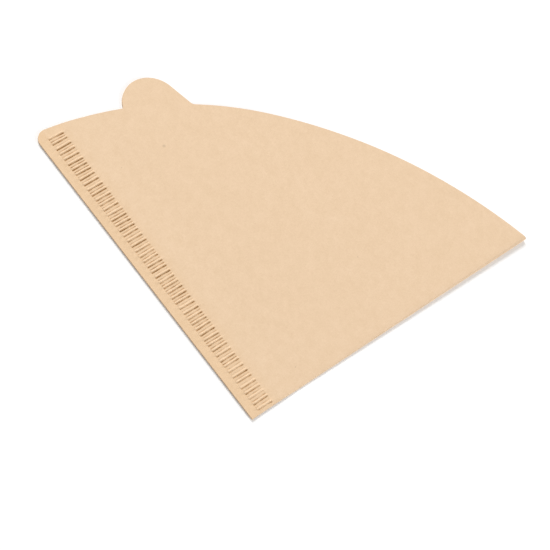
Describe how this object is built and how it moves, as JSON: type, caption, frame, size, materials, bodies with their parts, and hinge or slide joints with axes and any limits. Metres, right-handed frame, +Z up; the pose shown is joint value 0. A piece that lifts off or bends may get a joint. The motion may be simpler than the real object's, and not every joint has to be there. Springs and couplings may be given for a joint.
{
  "type": "paper coffee filter",
  "caption": "Cone coffee filter of unbleached paper, folded flat: two plies that share a round fold and a crimped seam, open along a curved mouth with a rounded tab.",
  "frame": {"origin": "on the surface that the sheet lies on, under the middle of its box", "axes": "+X along the fold from the closed tip to the mouth, +Y along the crimped seam from the fold to the mouth, +Z up, away from the surface that the sheet lies on"},
  "size_m": [0.127, 0.1198, 0.0024],
  "materials": {
    "paper": "matte unbleached filter paper, light kraft brown"
  },
  "bodies": {
    "root": {"paper_filter": "paper"}
  },
  "joints": []
}
